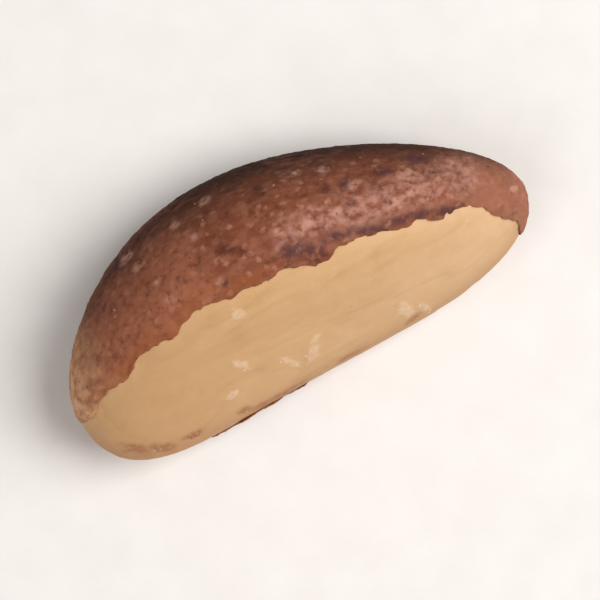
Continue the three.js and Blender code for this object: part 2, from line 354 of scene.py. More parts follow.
def scrap_left(places, below):
    """How far each place lies inside the edge of the scrap under the inner edge."""
    share = np.clip((places[:, 0] - SCRAP_START) / (SCRAP_END - SCRAP_START), 0, 1)
    half_width = SCRAP_HALF_WIDTH * 2 * np.sqrt(share * (1 - share))
    across = half_width - np.abs(below - SCRAP_DROP) + SCRAP_RAGGEDNESS * tears_at(places)
    return np.minimum(across, over_foot(places))


coat_inside = coat_left(points)
below_edge = below_inner_edge(points)
scrap_inside = scrap_left(points, below_edge)
print("share of the grid under the coat:", round(float((coat_inside > 0).mean()), 3))

# %% [markdown]
# Marks that the finish needs
#
# Some marks sit in one place: chalky scuffs on the flank, brown stains along the inner edge, a tan rim
# that is partly painted light, bruised stretches of coat. They could be painted in an image, but a
# distance from a named spot does the same and stays with the mesh. Each mark is stored on the mesh as a
# number from 0 to 1, and the distance inside the torn edge is stored with them.

# %% Named spots, in millimetres seen from above
# Each spot is its place x and y, its half length and half width, and its turn in degrees.
SCUFFS = (
    (-4.4, 1.9, 0.8, 0.5, -25), (-6.4, -1.6, 0.9, 0.4, -45), (-2.9, -3.3, 1.2, 0.4, -50),
    (-1.0, -3.6, 1.2, 0.5, 30), (-0.3, -2.6, 0.7, 0.4, 20), (-8.1, -3.4, 0.7, 0.25, 10),
    (7.1, -4.0, 0.9, 0.7, -60), (8.6, -4.7, 0.8, 0.4, -40),
)
STAINS = (
    (-16.8, -3.6, 1.4, 0.5, -43), (-15.2, -4.4, 1.5, 0.45, -22), (-12.4, -4.7, 1.2, 0.3, -5),
    (-7.9, -5.0, 0.7, 0.4, 0), (-5.2, -5.3, 3.4, 0.25, 0), (1.6, -5.2, 1.2, 0.2, 0),
    (7.4, -5.0, 0.8, 0.25, 10),
)
PALE_PATCHES = (
    (12.1, 5.1, 0.8, 0.5, -20), (8.0, 6.3, 0.9, 0.5, 10), (-8.6, 5.5, 0.4, 0.35, 0),
    (1.2, 5.9, 0.4, 0.4, 0), (15.6, 4.2, 0.5, 0.3, -30), (-10.2, 9.9, 0.6, 0.35, 20),
    (-4.7, 8.7, 0.4, 0.3, 0), (3.3, 5.4, 0.9, 0.4, 15), (5.6, 5.2, 0.5, 0.3, 0),
    (9.9, 3.8, 0.6, 0.3, 30), (18.9, 0.2, 0.4, 0.3, 0), (-9.5, 8.8, 0.7, 0.4, 20),
    (-8.8, 7.0, 0.4, 0.3, 0), (-5.6, 10.2, 0.6, 0.3, 10), (-2.7, 10.8, 0.6, 0.3, 0),
    (6.5, 8.5, 0.6, 0.3, -30), (4.2, 9.3, 0.7, 0.25, -15), (11.6, 3.6, 0.6, 0.35, -20),
)
BRUISES = (
    (1.2, 4.3, 1.3, 0.7, -10), (2.6, 3.6, 1.5, 0.6, -25), (3.1, 2.7, 0.6, 0.45, 0),
    (5.0, 3.5, 1.7, 0.5, -12), (7.4, 2.7, 1.7, 0.3, -18), (10.3, 2.2, 1.6, 0.45, -15),
    (11.6, 1.9, 1.3, 0.4, -20), (13.4, 1.2, 1.5, 0.4, -10), (7.4, 6.6, 0.7, 0.55, 0),
    (10.4, 6.2, 1.0, 0.4, -20), (13.3, 5.7, 1.2, 0.45, -30), (7.0, 5.2, 0.6, 0.25, -10),
    (5.7, 7.2, 0.6, 0.45, 0), (-4.3, 4.4, 0.25, 0.2, 0), (-11.0, 9.7, 1.0, 0.4, 30),
)
print("spots:", [len(spots) for spots in (SCUFFS, STAINS, PALE_PATCHES, BRUISES)])

# %% [markdown]
# Spots, bands and a painted sheen
#
# A spot is a turned ellipse whose distance is made uneven by noise, so that it has no drawn outline. A
# band follows the torn edge, and the painted sheen, a highlight along the crest of the coat, follows a
# line. All are seen from above, so they are kept to the side that looks up.

# %% How far a mark reaches
SPOT_FADE = (0.4, 1.3)
RAGGED_SIZE = 0.6
RAGGED_SHARE = 0.45
BAND_CORE = 0.25
# The painted sheen: a highlight painted along the crest of the coat, from its start to its end.
SHEEN_START, SHEEN_END = (1.9, 5.4), (16.0, 3.0)
SHEEN_FADE = (0.3, 2.3)
upper_side = smooth_step(-0.35, 0.25, normals[:, 2])


def spots_at(places, spots):
    """How strongly named ragged spots mark each place on the upper side, from 0 to 1."""
    ragged = 1 + RAGGED_SHARE * noise_at(places / RAGGED_SIZE)
    mark = np.zeros(len(places))
    for x, y, length, width, turn in spots:
        c, s = math.cos(math.radians(turn)), math.sin(math.radians(turn))
        right, up = places[:, 0] - x, places[:, 1] - y
        distance = np.hypot((c * right + s * up) / length, (c * up - s * right) / width)
        mark = np.maximum(mark, 1 - smooth_step(*SPOT_FADE, distance * ragged))
    return mark * upper_side


def edge_band(places, inside, span, width):
    """A band along the torn edge, from 0 to 1, between two places on the length."""
    x = places[:, 0]
    along = smooth_step(span[0] - 1, span[0] + 1, x) * (1 - smooth_step(span[1] - 1, span[1] + 1, x))
    return along * (1 - smooth_step(BAND_CORE * width, width, inside)) * upper_side


def sheen_band(places):
    """The painted sheen along the coat's crest, as the closeness to a line from its start to its end."""
    start, end = np.array(SHEEN_START), np.array(SHEEN_END)
    reach = (places[:, :2] - start) @ (end - start) / ((end - start) @ (end - start))
    nearest = start + np.clip(reach, 0, 1)[:, None] * (end - start)
    away = np.linalg.norm(places[:, :2] - nearest, axis=1)
    return (1 - smooth_step(*SHEEN_FADE, away)) * upper_side


print("share of the grid that looks up:", round(float((upper_side > 0.5).mean()), 3))

# %% [markdown]
# One number for each mark
#
# Some marks come from the spots, and others from the place along the kernel, the distance from an edge
# or the way that the surface faces. They are worked out once for the whole grid, and every sheet that is
# cut from the grid inherits them.

# %% The marks of the kernel and of the coat
# Spans are from and to along the kernel, fades are distances, and tilts are shares of the normal.
GLOW_SPAN, GLOW_WIDTH = (-19.0, -0.6), 1.8
WARM_SPAN, WARM_WIDTH = (-19.0, -5.0), 9.0
RIM_SPAN = (-19.2, -14.0)
TIP_SPAN = (13.0, 17.0)
COVER_FADE = 0.2
EDGE_NEAR_FADE = 1.2
LOW_FADE = 3.6
SCURFY_FADE = (0.3, 1.2)
LEAST_SCURF = 0.12
AWAY_BACK_TILT = (0.1, 0.95)
AWAY_UP_TILT = (0.28, 1.0)

sheen = sheen_band(points)
kernel_marks = {
    "cover": smooth_step(-COVER_FADE, 0.0, np.maximum(coat_inside, scrap_inside)),
    # Painted light: the flank just outside the torn edge, lighter where it turns up to the crest.
    "edge_near": 1 - smooth_step(0.0, EDGE_NEAR_FADE, -coat_inside),
    # Darker where the flank rounds under: partly brown left by the coat, partly painted shade.
    "low": smooth_step(-LOW_FADE, 0.0, below_edge),
    "scuff": spots_at(points, SCUFFS),
    "stain": spots_at(points, STAINS),
}
coat_marks = {
    "inside": coat_inside,
    "bruise": spots_at(points, BRUISES),
    "glow": edge_band(points, coat_inside, GLOW_SPAN, GLOW_WIDTH),
    "warm": edge_band(points, coat_inside, WARM_SPAN, WARM_WIDTH),
    "sheen": sheen,
    "pale": spots_at(points, PALE_PATCHES),
    "scurfy": smooth_step(*SCURFY_FADE, coat_inside) * np.maximum(LEAST_SCURF, sheen),
    "tip": smooth_step(*TIP_SPAN, points[:, 0]),
    # Painted shade: the back of the coat, facing away from the main lamp and not up.
    "away": smooth_step(*AWAY_BACK_TILT, normals[:, 1]) * (1 - smooth_step(*AWAY_UP_TILT, normals[:, 2])),
    # The tan rim at the blunt tip: partly the coat's own tan where it thins, partly painted light.
    "rim": (1 - smooth_step(*RIM_SPAN, points[:, 0])) * upper_side,
}
for name, values in {**kernel_marks, **coat_marks}.items():
    print("mark", name, "covers", round(float((values > 0.5).mean()), 3), "of the grid")

# %% [markdown]
# Cutting the coat out of the grid
#
# The coat is a sheet that lies on the kernel, so it starts as the part of the kernel's own grid that is
# inside the torn edge. Deleting whole faces would leave steps along the edge. Each triangle that the
# edge crosses is cut instead, at the place where the distance is zero. A cut too near a corner would
# leave slivers, so it keeps a least share away.

# %% Cut a sheet along its torn edge
LEAST_CUT = 0.12
LEAST_DISTANCE = 1e-3


def cut_sheet(inside, marks):
    """Points, normals, marks and triangles of the grid where the distance is positive."""
    safe = np.where(np.abs(inside) < LEAST_DISTANCE, LEAST_DISTANCE, inside)
    count = (safe[triangles] > 0).sum(axis=1)
    table = np.column_stack([points, normals, *marks.values()])
    rows = [table]
    cut_points = {}
    kept = [tuple(corners) for corners in triangles[count == 3]]

    def cut(a, b):
        low, high = min(a, b), max(a, b)
        if (low, high) not in cut_points:
            share = np.clip(safe[low] / (safe[low] - safe[high]), LEAST_CUT, 1 - LEAST_CUT)
            cut_points[low, high] = len(table) + len(cut_points)
            rows.append((table[low] * (1 - share) + table[high] * share)[None])
        return cut_points[low, high]

    for corners in triangles[(count > 0) & (count < 3)]:
        ring = []
        for a, b in zip(corners, np.roll(corners, -1)):
            ring += [int(a)] if safe[a] > 0 else []
            ring += [cut(int(a), int(b))] if (safe[a] > 0) != (safe[b] > 0) else []
        kept += [(ring[0], ring[k], ring[k + 1]) for k in range(1, len(ring) - 1)]
    return np.concatenate(rows), np.array(kept)


scrap_marks = {**coat_marks, "inside": scrap_inside}
coat_cut = cut_sheet(coat_inside, coat_marks)
scrap_cut = cut_sheet(scrap_inside, scrap_marks)
print("triangles of the coat and of the scrap:", len(coat_cut[1]), len(scrap_cut[1]))

# %% [markdown]
# Dropping what is torn loose
#
# The coat is one piece. The noise of the scrap's tears also leaves 17 specks of 4 mm2 in all along the
# inner edge, beyond both ends of the scrap of 19 mm2, and they are dropped. They have nearly as many
# triangles as the scrap, because the grid is finer towards the tips. Two triangles hang together when
# they share a point. Every point starts with a number of its own, and the lowest number spreads over all
# that hangs together.


# %% Keep the largest piece of each sheet
def largest_piece(faces):
    """The largest set of triangles that hang together."""
    label = np.arange(faces.max() + 1)
    while True:
        lowest = label[faces].min(axis=1)
        before = label.copy()
        for corner in range(3):
            np.minimum.at(label, faces[:, corner], lowest)
        label = label[label]
        if (label == before).all():
            break
    owners, sizes = np.unique(label[faces[:, 0]], return_counts=True)
    return faces[label[faces[:, 0]] == owners[sizes.argmax()]]


coat_sheet = (coat_cut[0], largest_piece(coat_cut[1]))
scrap_sheet = (scrap_cut[0], largest_piece(scrap_cut[1]))
print("triangles left of each:", len(coat_sheet[1]), len(scrap_sheet[1]))

# %% [markdown]
# Plain meshes to start from
#
# The trees further down need meshes to work on. These have their points in metres and carry their marks
# as attributes, which Geometry Nodes and materials can both read. Points of the kernel that would lie
# under the floor are set on it, and make the flat spot that it rests on.

# %% Base meshes of the kernel, the coat and the scrap
# A row of a table is a place, a normal and then the marks.
FIRST_MARK = 6


def mesh_object(name, table, faces, marks):
    """A mesh object from rows of place, normal and marks, with each mark as an attribute."""
    used, faces = np.unique(faces, return_inverse=True)
    table, faces = table[used], faces.reshape(-1, 3)
    mesh = bpy.data.meshes.new(name)
    mesh.vertices.add(len(table))
    mesh.vertices.foreach_set("co", placed(table[:, :3]).ravel())
    mesh.loops.add(faces.size)
    mesh.loops.foreach_set("vertex_index", faces.ravel())
    mesh.polygons.add(len(faces))
    mesh.polygons.foreach_set("loop_start", np.arange(0, faces.size, 3))
    mesh.update(calc_edges=True)
    mesh.validate()
    for column, mark in enumerate(marks, start=FIRST_MARK):
        mesh.attributes.new(mark, "FLOAT", "POINT").data.foreach_set("value", table[:, column])
    thing = bpy.data.objects.new(name, mesh)
    bpy.context.scene.collection.objects.link(thing)
    return thing


kernel_table = np.column_stack([points, normals, *kernel_marks.values()])
kernel_table[:, 2] = np.maximum(kernel_table[:, 2], 0)
kernel_base = mesh_object("kernel_base", kernel_table, triangles, kernel_marks)
coat_base = mesh_object("coat_base", *coat_sheet, coat_marks)
scrap_base = mesh_object("scrap_base", *scrap_sheet, scrap_marks)
for base in (kernel_base, coat_base, scrap_base):
    print(base.name, len(base.data.vertices), "points,", len(base.data.polygons), "triangles")

# %% [markdown]
# Building trees in code
#
# Geometry Nodes and shader trees are lists of nodes and links. Small helpers keep the trees short: one
# makes a node with its inputs set or linked, some are a sum on one line, and some are a texture. They
# work in both kinds of tree, because both have the same nodes for sums and textures.

# %% Helpers for node trees
NUMBER, COLOUR, GEOMETRY = "NodeSocketFloat", "NodeSocketColor", "NodeSocketGeometry"
MATERIAL, WORD, WHOLE = "NodeSocketMaterial", "NodeSocketString", "NodeSocketInt"


def add_node(tree, kind, inputs=None, **settings):
    """A node with its settings, and with each input set to a value or linked to a socket."""
    node = tree.nodes.new(kind)
    for setting, value in settings.items():
        setattr(node, setting, value)
    for key, value in (inputs or {}).items():
        if isinstance(value, bpy.types.NodeSocket):
            tree.links.new(value, node.inputs[key])
        else:
            node.inputs[key].default_value = value
    return node


def new_group(kind, name, inputs, outputs):
    """An empty group tree with named sockets, what it is given, and what it puts out."""
    tree = bpy.data.node_groups.new(name, kind)
    for in_out, sockets in (("INPUT", inputs), ("OUTPUT", outputs)):
        for label, (form, default) in sockets.items():
            socket = tree.interface.new_socket(name=label, in_out=in_out, socket_type=form)
            if default is not None:
                socket.default_value = default
    return tree, tree.nodes.new("NodeGroupInput").outputs, tree.nodes.new("NodeGroupOutput").inputs


def numbers(**values):
    """Named number inputs for a group, each with its first value."""
    return {name.replace("_", " "): (NUMBER, value) for name, value in values.items()}


print("kinds of socket:", NUMBER, COLOUR, GEOMETRY, MATERIAL, WORD, WHOLE)

# %% [markdown]
# Sums in a tree
#
# Even a short sum takes several nodes and links. Written as a call with its values inside, it reads like
# a sum again. Each helper gives back a socket, so that one call can be a value in the next.


# %% Sums on one line
def calc(tree, operation, *values):
    """One step of arithmetic on numbers or sockets."""
    return add_node(tree, "ShaderNodeMath", dict(enumerate(values)), operation=operation).outputs[0]


def product(tree, first, *others):
    """All the values multiplied in turn."""
    for other in others:
        first = calc(tree, "MULTIPLY", first, other)
    return first


def about_zero(tree, value, span):
    """A value from 0 to 1 moved down by a half, and drawn out to a span."""
    return product(tree, calc(tree, "SUBTRACT", value, 0.5), span)


def ramp(tree, value, low, high, to_low=0.0, to_high=1.0):
    """A smooth step of a value from one range to another."""
    inputs = {"Value": value, "From Min": low, "From Max": high, "To Min": to_low, "To Max": to_high}
    return add_node(tree, "ShaderNodeMapRange", inputs, interpolation_type="SMOOTHSTEP").outputs[0]


def vector_calc(tree, operation, first, second):
    """One step of arithmetic on vectors. SCALE takes a number as its second value."""
    key = "Scale" if operation == "SCALE" else 1
    return add_node(tree, "ShaderNodeVectorMath", {0: first, key: second}, operation=operation).outputs[0]


def part_of(tree, vector, axis):
    """One coordinate of a vector."""
    return add_node(tree, "ShaderNodeSeparateXYZ", {0: vector}).outputs[axis]


SUMS = (calc, product, about_zero, ramp, vector_calc, part_of)
print("helpers for sums:", [helper.__name__ for helper in SUMS])

# %% [markdown]
# Textures in their own size
#
# A texture shows about one grain or cell for each unit of the place that it is given. When the place is
# counted in the size that the grains should have, that size is an input with a meaning, and no scale has
# to be guessed. Drawing the place out along X gives streaks that run along the kernel.

# %% Places and textures
EVEN_NOISE = 0.5
LIVELY_NOISE = 0.55


def counted_in(tree, place, size, stretch=None):
    """A place counted in sizes, and drawn out along X where there is a stretch."""
    across = calc(tree, "DIVIDE", 1.0, size)
    if stretch is None:
        return vector_calc(tree, "SCALE", place, across)
    along = calc(tree, "DIVIDE", across, stretch)
    squeeze = add_node(tree, "ShaderNodeCombineXYZ", {"X": along, "Y": across, "Z": across})
    return vector_calc(tree, "MULTIPLY", place, squeeze.outputs[0])


def noise_in(tree, place, detail, roughness=LIVELY_NOISE, output="Fac"):
    """Noise from 0 to 1 at a place counted in the noise's own size."""
    inputs = {"Vector": place, "Scale": 1.0, "Detail": detail, "Roughness": roughness}
    return add_node(tree, "ShaderNodeTexNoise", inputs).outputs[output]


def cells_in(tree, place):
    """The distance to the nearest of many scattered points, about one unit apart."""
    return add_node(tree, "ShaderNodeTexVoronoi", {"Vector": place, "Scale": 1.0}).outputs["Distance"]


print("noise roughness, even and lively:", EVEN_NOISE, LIVELY_NOISE)

# %% [markdown]
# Relief shared by the kernel and the coat
#
# Up close, both surfaces have four kinds of relief: soft grains, shallow wrinkles that run along the
# kernel, tiny pits, and a few long veins. The veins are where a broad noise crosses its middle value,
# because such crossings are thin lines that wander and never end. One nested tree works out the height
# of all four at a place, and each body gives its own sizes and heights.

# %% The relief tree
RELIEF_SIZES = {
    "Grain Size": 0.6 * MM, "Grain Height": 0.02 * MM,
    "Wrinkle Width": 0.5 * MM, "Wrinkle Stretch": 6.0, "Wrinkle Height": 0.02 * MM,
    "Pit Spacing": 1.2 * MM, "Pit Depth": 0.03 * MM,
    "Vein Spacing": 3.0 * MM, "Vein Stretch": 5.0, "Vein Height": 0.03 * MM,
}
VEIN_HALF_WIDTH = 0.035
PIT_FADE = (0.08, 0.3)
NOISE_GAIN = 2.0


def relief_tree():
    """The height of all four kinds of relief at a place, and a mask of the veins."""
    inputs = {label: (NUMBER, value) for label, value in RELIEF_SIZES.items()}
    outputs = {"Height": (NUMBER, None), "Veins": (NUMBER, None)}
    tree, at, out = new_group("GeometryNodeTree", "surface_relief", inputs, outputs)
    place = tree.nodes.new("GeometryNodeInputPosition").outputs[0]

    grains = noise_in(tree, counted_in(tree, place, at["Grain Size"]), 2.0)
    wrinkles_at = counted_in(tree, place, at["Wrinkle Width"], at["Wrinkle Stretch"])
    wrinkles = noise_in(tree, wrinkles_at, 3.0)
    veins_at = counted_in(tree, place, at["Vein Spacing"], at["Vein Stretch"])
    crossing = calc(tree, "ABSOLUTE", calc(tree, "SUBTRACT", noise_in(tree, veins_at, 2.0), 0.5))
    veins = ramp(tree, crossing, VEIN_HALF_WIDTH, 0.0)
    pits = ramp(tree, cells_in(tree, counted_in(tree, place, at["Pit Spacing"])), *PIT_FADE, -1.0, 0.0)

    grain = about_zero(tree, grains, at["Grain Height"])
    wrinkle = about_zero(tree, wrinkles, at["Wrinkle Height"])
    both = product(tree, calc(tree, "ADD", grain, wrinkle), NOISE_GAIN)
    with_pits = calc(tree, "ADD", both, product(tree, pits, at["Pit Depth"]))
    total = calc(tree, "ADD", with_pits, product(tree, veins, at["Vein Height"]))
    tree.links.new(total, out["Height"])
    tree.links.new(veins, out["Veins"])
    return tree


RELIEF_TREE = relief_tree()
print("relief tree:", len(RELIEF_TREE.nodes), "nodes")

# %% [markdown]
# What the kernel's and the coat's trees share
#
# Both trees use the relief, keep its height on the mesh for the materials, and move points along their
# normals. These trees and the one that scatters all end by making instances real and setting the
# material, because an instance isn't a mesh of its own and would be lost when the piece is handed over.

# %% What both bodies' trees share
RELIEF_UNIT = 0.1 * MM
GEOMETRY_OUT = {"Geometry": (GEOMETRY, None)}


def body_inputs(extra):
    """The inputs of a body's tree: its geometry, its own sizes, the relief's sizes and a material."""
    sizes = {label: (NUMBER, value) for label, value in {**extra, **RELIEF_SIZES}.items()}
    return {"Geometry": (GEOMETRY, None), **sizes, "Material": (MATERIAL, None)}


def stored_mark(tree, name):
    """A mark stored on the mesh, as a number for a Geometry Nodes tree."""
    node = add_node(tree, "GeometryNodeInputNamedAttribute", {"Name": name}, data_type="FLOAT")
    return node.outputs["Attribute"]


def add_relief(tree, at):
    """The shared relief tree inside a body's tree, fed by the body's own inputs."""
    inputs = {label: at[label] for label in RELIEF_SIZES}
    return add_node(tree, "GeometryNodeGroup", inputs, node_tree=RELIEF_TREE).outputs


def store_relief(tree, geometry, relief):
    """Keeps the relief and the veins on the mesh, for the materials to read."""
    height = calc(tree, "DIVIDE", relief["Height"], RELIEF_UNIT)
    for name, value in (("relief", height), ("veins", relief["Veins"])):
        inputs = {"Geometry": geometry, "Name": name, "Value": value}
        geometry = add_node(tree, "GeometryNodeStoreNamedAttribute", inputs, data_type="FLOAT").outputs[0]
    return geometry


def push_out(tree, geometry, height, **selection):
    """A geometry with its points moved along their normals."""
    normal = tree.nodes.new("GeometryNodeInputNormal").outputs[0]
    inputs = {"Geometry": geometry, "Offset": vector_calc(tree, "SCALE", normal, height), **selection}
    return add_node(tree, "GeometryNodeSetPosition", inputs).outputs[0]


def end_tree(tree, geometry, material, out):
    """Ends a tree: its instances are made real, and its material is set."""
    real = add_node(tree, "GeometryNodeRealizeInstances", {"Geometry": geometry}).outputs[0]
    painted = add_node(tree, "GeometryNodeSetMaterial", {"Geometry": real, "Material": material})
    tree.links.new(painted.outputs[0], out["Geometry"])


print("a body's tree has", len(body_inputs({})), "inputs and its own sizes")

# %% [markdown]
# Running a tree
#
# A tree does nothing until a modifier runs it on a mesh. The modifier's inputs are set by their
# identifiers before the mesh is first evaluated. The evaluated result is copied into a plain mesh and
# the modifier is removed, so that what is handed over no longer depends on any tree.


# %% Run a tree on a mesh
def run_tree(base, tree, values, name):
    """Runs a tree on a mesh object, and turns the result into a plain mesh object."""
    modifier = base.modifiers.new(tree.name, "NODES")
    modifier.node_group = tree
    sockets = {item.name: item.identifier for item in tree.interface.items_tree if item.in_out == "INPUT"}
    for label, value in values.items():
        modifier[sockets[label]] = value
    base.update_tag()
    bpy.context.view_layer.update()
    evaluated = base.evaluated_get(bpy.context.evaluated_depsgraph_get())
    mesh = bpy.data.meshes.new_from_object(evaluated)
    base.modifiers.remove(modifier)
    mesh.name = name
    mesh.shade_smooth()
    piece = bpy.data.objects.new(name, mesh)
    bpy.context.scene.collection.objects.link(piece)
    print(name, len(mesh.vertices), "points,", len(mesh.polygons), "faces")
    return piece


print("node trees so far:", [tree.name for tree in bpy.data.node_groups])

# %% [markdown]
# The kernel
#
# The cream flesh is dense and waxy. Its relief is low: soft grains and long, faint wrinkles. Where the
# coat still covers it the relief fades to nothing, so the coat can lie tight on it. It fades towards the
# floor too, so that the kernel rests on it and not in it. The scuffs stand up a little, because a
# scraped kernel sheds chalky crumbs.

# %% The kernel's tree
FLOOR_FADE = 0.3 * MM
CRUMBLY = (0.45, 0.6)


def kernel_tree():
    """Relief and scuffs on the bare flesh."""
    inputs = body_inputs({"Scuff Height": 0.05 * MM, "Scuff Size": 0.25 * MM})
    tree, at, out = new_group("GeometryNodeTree", "kernel_body", inputs, GEOMETRY_OUT)
    place = tree.nodes.new("GeometryNodeInputPosition").outputs[0]
    bare = calc(tree, "SUBTRACT", 1.0, stored_mark(tree, "cover"))
    rough = noise_in(tree, counted_in(tree, place, at["Scuff Size"]), 3.0, EVEN_NOISE)
    scuffed = product(tree, ramp(tree, rough, *CRUMBLY), stored_mark(tree, "scuff"), at["Scuff Height"])
    relief = add_relief(tree, at)
    off_floor = ramp(tree, part_of(tree, place, "Z"), 0.0, FLOOR_FADE)
    height = product(tree, calc(tree, "ADD", relief["Height"], scuffed), bare, off_floor)
    marked = store_relief(tree, at["Geometry"], relief)
    end_tree(tree, push_out(tree, marked, height), at["Material"], out)
    return tree


KERNEL_TREE = kernel_tree()
print("kernel tree:", len(KERNEL_TREE.nodes), "nodes")

# %% [markdown]
# The seed coat
#
# The coat is a dry, leathery skin a fraction of a millimetre thick, thinner still along its torn edge.
# The sheet cut from the grid is its inner face. The tree raises a copy along the normals, joins the two
# with walls, and wrinkles the outer one. Solidify could raise it too, but the tree can also thin the edge
# and lift it a little, as dry skin does.

# %% The coat's tree
LIFT_WAVES = (0.42, 0.62)
EDGE_RELIEF_SHARE = 0.35
SAME_POINT = 1e-7


def coat_tree():
    """A sheet raised into a thin shell, thinner and lifted along its torn edge."""
    inputs = body_inputs({
        "Thickness": 0.2 * MM, "Edge Thickness": 0.09 * MM, "Edge Width": 1.0,
        "Lift": 0.1 * MM, "Lift Width": 0.5, "Lift Spacing": 1.6 * MM,
    })
    tree, at, out = new_group("GeometryNodeTree", "coat_body", inputs, GEOMETRY_OUT)
    place = tree.nodes.new("GeometryNodeInputPosition").outputs[0]
    inside = stored_mark(tree, "inside")
    full = ramp(tree, inside, 0.0, at["Edge Width"])
    thickness = add_node(tree, "ShaderNodeMapRange", {
        "Value": full, "To Min": at["Edge Thickness"], "To Max": at["Thickness"],
    }).outputs[0]
    waves = noise_in(tree, counted_in(tree, place, at["Lift Spacing"]), 1.0, EVEN_NOISE)
    rim = ramp(tree, inside, at["Lift Width"], 0.0)
    lift = product(tree, rim, ramp(tree, waves, *LIFT_WAVES), at["Lift"])
    relief = add_relief(tree, at)
    sheet = push_out(tree, store_relief(tree, at["Geometry"], relief), lift)
    raised = add_node(tree, "GeometryNodeExtrudeMesh", {
        "Mesh": sheet, "Offset Scale": thickness, "Individual": False,
    }, mode="FACES").outputs
    height = product(tree, relief["Height"], ramp(tree, full, 0.0, 0.5, EDGE_RELIEF_SHARE, 1.0))
    wrinkled = push_out(tree, raised["Mesh"], height, Selection=raised["Top"])
    inner = add_node(tree, "GeometryNodeFlipFaces", {"Mesh": sheet}).outputs[0]
    both = tree.nodes.new("GeometryNodeJoinGeometry")
    for shell in (wrinkled, inner):
        tree.links.new(shell, both.inputs[0])
    inputs = {"Geometry": both.outputs[0], "Distance": SAME_POINT}
    closed = add_node(tree, "GeometryNodeMergeByDistance", inputs).outputs[0]
    end_tree(tree, closed, at["Material"], out)
    return tree


COAT_TREE = coat_tree()
print("coat tree:", len(COAT_TREE.nodes), "nodes")

# %% [markdown]
# Colour and fine bump shared by both finishes
#
# Kernel and coat have the same kinds of finish: broad blotches of tone, streaks along the length, small
# flecks, and a bump too fine for the mesh. Two shader groups hold them, and each material gives its own
# colours and sizes.


# %% The mottle group
def place_in(tree, size, stretch=None):
    """The place on the object, counted in sizes given in millimetres."""
    place = tree.nodes.new("ShaderNodeTexCoord").outputs["Object"]
    return counted_in(tree, vector_calc(tree, "SCALE", place, 1 / MM), size, stretch)


def blend(tree, amount, below, above):
    """One colour laid over another by an amount."""
    inputs = {0: amount, 6: below, 7: above}
    return add_node(tree, "ShaderNodeMix", inputs, data_type="RGBA").outputs[2]


def mottle_group():
    """Dark blotches, light streaks along the kernel and small light flecks on a base colour."""
    inputs = {label: (COLOUR, None) for label in ("Base", "Dark", "Light", "Fleck")}
    inputs |= numbers(
        Blotch_Size=3.0, Blotch_Amount=0.6, Streak_Width=0.8, Streak_Stretch=7.0, Streak_Amount=0.4,
        Fleck_Spacing=1.0, Fleck_Amount=0.5,
    )
    outputs = {"Color": (COLOUR, None), "Tone": (NUMBER, None)}
    tree, at, out = new_group("ShaderNodeTree", "mottle", inputs, outputs)
    blotch = noise_in(tree, place_in(tree, at["Blotch Size"]), 6.0, 0.68)
    streak = noise_in(tree, place_in(tree, at["Streak Width"], at["Streak Stretch"]), 3.0)
    cells = cells_in(tree, place_in(tree, at["Fleck Spacing"]))
    uneven = noise_in(tree, place_in(tree, product(tree, at["Fleck Spacing"], 0.4)), 2.0)
    fleck = calc(tree, "ADD", cells, about_zero(tree, uneven, 0.8))
    dark = product(tree, ramp(tree, blotch, 0.54, 0.34), at["Blotch Amount"])
    light = product(tree, ramp(tree, streak, 0.42, 0.68), at["Streak Amount"])
    bright = product(tree, ramp(tree, fleck, 0.36, 0.1), at["Fleck Amount"], ramp(tree, blotch, 0.3, 0.6))
    colour = at["Base"]
    for amount, above in ((dark, at["Dark"]), (light, at["Light"]), (bright, at["Fleck"])):
        colour = blend(tree, amount, colour, above)
    tree.links.new(colour, out["Color"])
    tree.links.new(blotch, out["Tone"])
    return tree


MOTTLE = mottle_group()
print("shader group:", MOTTLE.name, len(MOTTLE.nodes), "nodes")

# %% [markdown]
# A bump too fine for the mesh
#
# Grains and wrinkles this fine would need millions of faces, and a bump shades them as if they were
# there. The tiny specks on the coat and the flesh are about as small, so they come from the same group.


# %% The fine bump group
def fine_bump_group():
    """The height of grains and hair-fine wrinkles, from 0 to 1, and a mask of tiny specks."""
    inputs = numbers(
        Grain_Size=0.2, Wrinkle_Width=0.18, Wrinkle_Share=0.5, Speck_Spacing=0.9, Speck_Size=0.16,
    )
    outputs = {"Height": (NUMBER, None), "Specks": (NUMBER, None)}
    tree, at, out = new_group("ShaderNodeTree", "fine_bump", inputs, outputs)
    grains = noise_in(tree, place_in(tree, at["Grain Size"]), 3.0)
    wrinkles = noise_in(tree, place_in(tree, at["Wrinkle Width"], 5.0), 2.0)
    inputs = {0: at["Wrinkle Share"], 2: grains, 3: wrinkles}
    height = add_node(tree, "ShaderNodeMix", inputs, data_type="FLOAT").outputs[0]
    specks = ramp(tree, cells_in(tree, place_in(tree, at["Speck Spacing"])), at["Speck Size"], 0.0)
    tree.links.new(height, out["Height"])
    tree.links.new(specks, out["Specks"])
    return tree


FINE_BUMP = fine_bump_group()
print("shader group:", FINE_BUMP.name, len(FINE_BUMP.nodes), "nodes")

# %% [markdown]
# Materials in layers
#
# A natural surface is one colour with others laid over it, each in its own places and with its own
# strength. The finishes below are written as such lists, from the lowest layer to the top one. Masks
# come from the marks on the mesh and from noise. The shader itself stays in each material, and values
# that don't change over the surface sit on its own sockets.


# %% Helpers for materials
def srgb(*screen):
    """A colour given as screen values from 0 to 255, as the linear colour that Blender works in."""
    shares = [value / 255 for value in screen]
    return (*(v / 12.92 if v <= 0.04045 else ((v + 0.055) / 1.055) ** 2.4 for v in shares), 1.0)


def new_material(name, **constants):
    """A material with a Principled shader whose constant values sit on its own sockets."""
    material = bpy.data.materials.new(name)
    material.use_nodes = True
    shader = material.node_tree.nodes["Principled BSDF"]
    for socket, value in constants.items():
        shader.inputs[socket.replace("_", " ")].default_value = value
    return material, material.node_tree, shader


